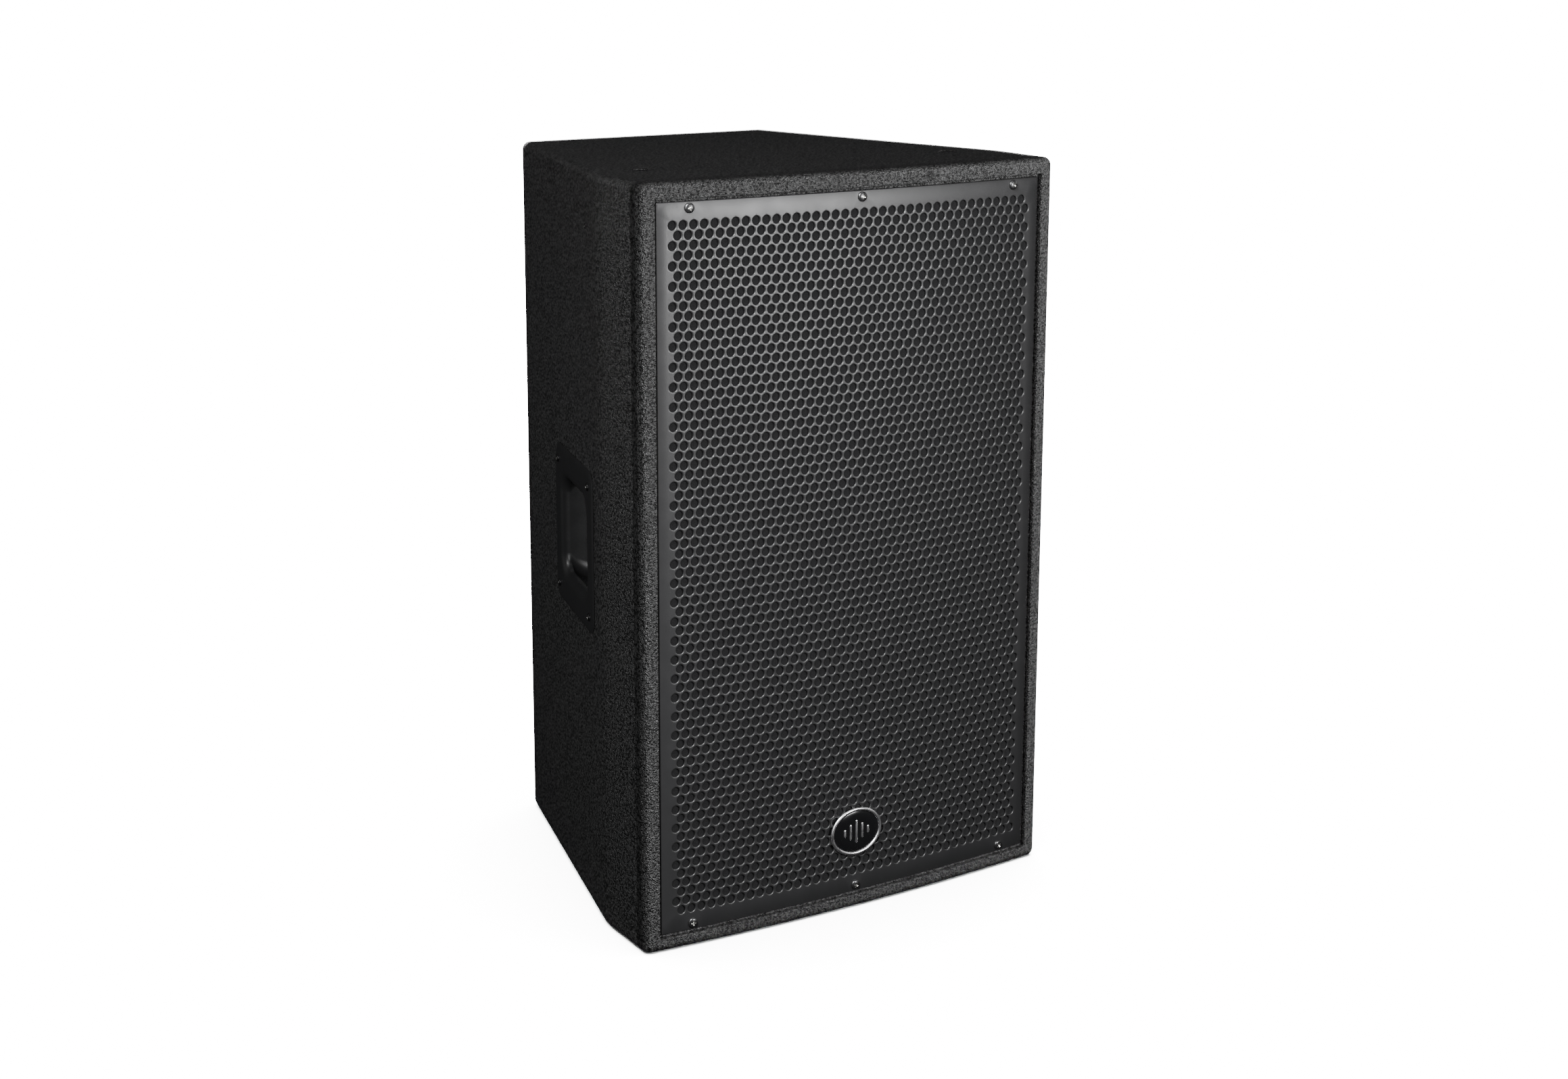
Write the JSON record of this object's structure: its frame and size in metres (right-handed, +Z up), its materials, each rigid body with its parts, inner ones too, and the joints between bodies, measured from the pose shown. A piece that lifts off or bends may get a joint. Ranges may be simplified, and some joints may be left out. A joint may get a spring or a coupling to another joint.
{
  "type": "pa speaker cabinet",
  "caption": "Passive PA loudspeaker cabinet, trapezoid in plan, with a convex perforated steel grille, oval badge, recessed side handles, pole socket and rear connector dish.",
  "frame": {"origin": "middle of the underside, on the surface that the cabinet stands on", "axes": "+Z up along the height, the front faces -Y, +X is to the right as the front is looked at"},
  "size_m": [0.4388, 0.396, 0.688],
  "materials": {
    "textured_black_paint": "hard-wearing black textured paint over plywood, fine orange-peel grain, low sheen",
    "birch_plywood": "bare birch plywood inside the cabinet",
    "black_powder_coated_steel": "satin black powder coat on perforated steel",
    "acoustic_foam": "grey open-cell foam lining",
    "screw_steel": "plain zinc-plated screw",
    "polished_chrome": "polished ring",
    "gloss_black": "glossy black plate",
    "black_plastic": "moulded black plastic, semi-gloss with a fine grain",
    "cast_aluminium": "cast and painted, matt",
    "treated_cloth": "doped pleated cloth",
    "cone_paper": "black pressed paper pulp",
    "spider_cloth": "amber resin-treated cloth",
    "plated_steel": "zinc-plated steel",
    "ferrite": "dark grey sintered ferrite",
    "titanium": "thin formed titanium",
    "enamelled_copper": "wound enamelled copper wire",
    "circuit_board": "green glass-fibre board",
    "film_capacitor": "yellow wrapped film",
    "ceramic_white": "off-white ceramic resistor body",
    "polyester_wadding": "loose pale wadding",
    "lead_insulation": "red and black cable sheath"
  },
  "bodies": {
    "cabinet": {"left_side_panel": "textured_black_paint", "right_side_panel": "textured_black_paint", "top_panel": "textured_black_paint", "bottom_panel": "textured_black_paint", "back_panel": "textured_black_paint", "front_frame": "textured_black_paint", "front_baffle": "birch_plywood", "internal_brace": "birch_plywood", "front_grille": "black_powder_coated_steel", "grille_foam": "acoustic_foam", "grille_screw_1": "screw_steel", "grille_screw_2": "screw_steel", "grille_screw_3": "screw_steel", "grille_screw_4": "screw_steel", "grille_screw_5": "screw_steel", "grille_screw_6": "screw_steel", "rigging_plug_top_left": "screw_steel", "rigging_plug_top_right": "screw_steel", "rigging_plug_bottom_left": "screw_steel", "rigging_plug_bottom_right": "screw_steel", "badge_ring": "polished_chrome", "badge_plate": "gloss_black", "left_handle": "black_plastic", "right_handle": "black_plastic", "connector_dish": "black_plastic", "speaker_socket_input": "black_plastic", "speaker_socket_link": "black_plastic", "horn_flare": "black_plastic", "left_port_tube": "black_plastic", "right_port_tube": "black_plastic", "woofer_basket": "cast_aluminium", "hf_rear_cover": "cast_aluminium", "woofer_surround": "treated_cloth", "woofer_gasket": "treated_cloth", "woofer_spider": "spider_cloth", "woofer_front_plate": "plated_steel", "woofer_back_plate": "plated_steel", "hf_yoke": "plated_steel", "hf_gap_plate": "plated_steel", "pole_socket": "plated_steel", "woofer_magnet": "ferrite", "hf_magnet": "ferrite", "low_pass_coil": "enamelled_copper", "high_pass_coil": "enamelled_copper", "crossover_board": "circuit_board", "crossover_capacitor": "film_capacitor", "crossover_resistor": "ceramic_white", "damping_wadding": "polyester_wadding", "woofer_lead": "lead_insulation", "horn_lead": "lead_insulation", "input_lead": "lead_insulation"},
    "woofer_moving": {"woofer_cone": "cone_paper", "woofer_dust_cap": "cone_paper", "woofer_voice_coil": "enamelled_copper"},
    "hf_moving": {"hf_diaphragm": "titanium"}
  },
  "joints": [
    {"name": "woofer_travel", "type": "slide", "parent": "cabinet", "child": "woofer_moving", "axis": [0, -1, 0], "range_m": [-0.008, 0.008], "stiffness_N_per_m": 3000, "deforming": ["woofer_surround", "woofer_spider"]},
    {"name": "hf_diaphragm_travel", "type": "slide", "parent": "cabinet", "child": "hf_moving", "axis": [0, -1, 0], "range_m": [-0.0004, 0.0004], "stiffness_N_per_m": 5000}
  ]
}
